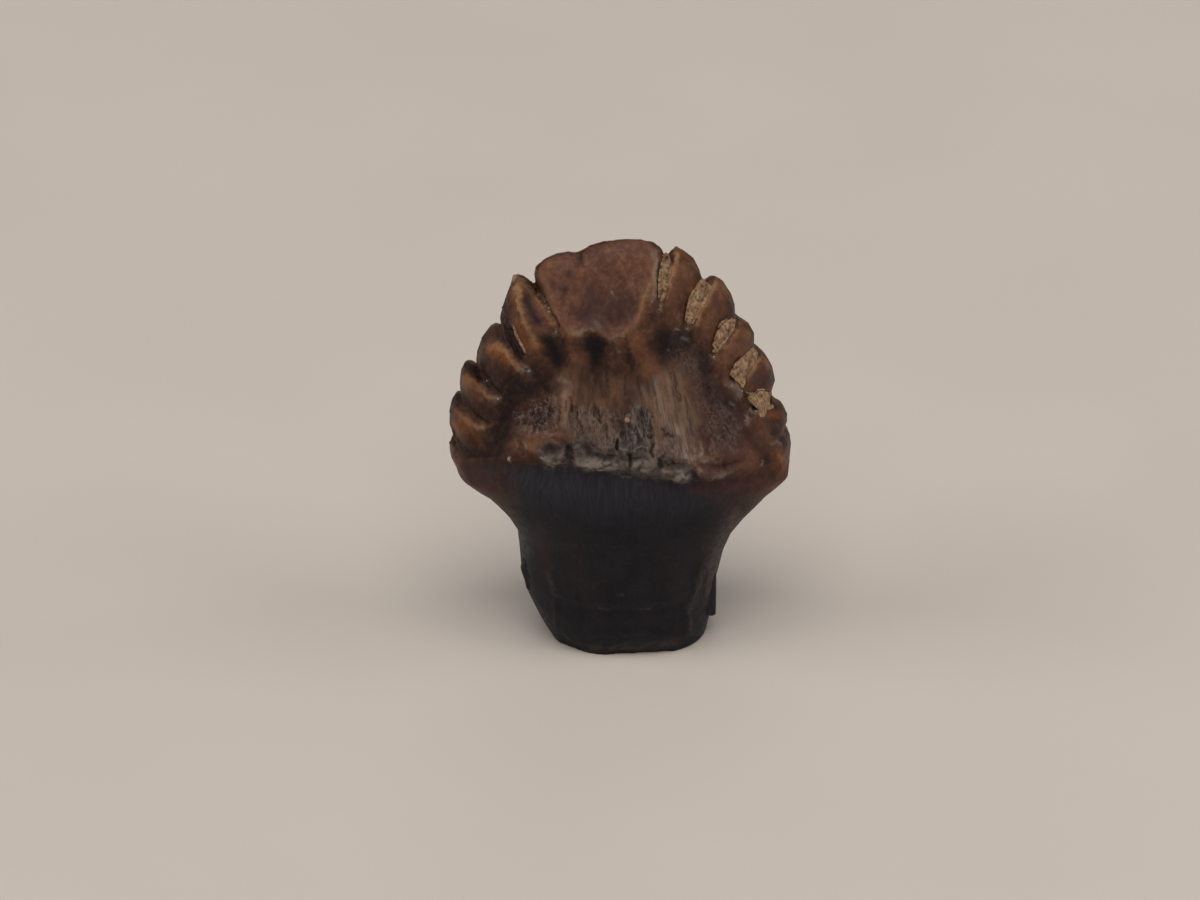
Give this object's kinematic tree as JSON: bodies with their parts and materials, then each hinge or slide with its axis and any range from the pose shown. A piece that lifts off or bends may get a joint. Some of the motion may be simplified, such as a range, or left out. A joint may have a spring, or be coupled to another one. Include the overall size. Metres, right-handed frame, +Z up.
{
  "type": "fossil nodosaur tooth",
  "caption": "Leaf-shaped fossil dinosaur tooth with denticles along both edges, a ledge round the crown's base and a broken root, with sediment in the gaps.",
  "frame": {"origin": "the middle of the flat break at the root's end, which the tooth rests on", "axes": "+Z up the tooth to the apex, -Y the worn face with the strong ledge, +X the side with the sediment plugs"},
  "size_m": [0.0114, 0.0056, 0.0141],
  "materials": {
    "tooth": "glossy brown enamel on the crown, dull near-black root",
    "sediment": "tan sandstone grains, dry and rough"
  },
  "bodies": {
    "root": {"tooth": "tooth", "sediment_1": "sediment", "sediment_2": "sediment", "sediment_3": "sediment", "sediment_4": "sediment", "sediment_5": "sediment"}
  },
  "joints": []
}
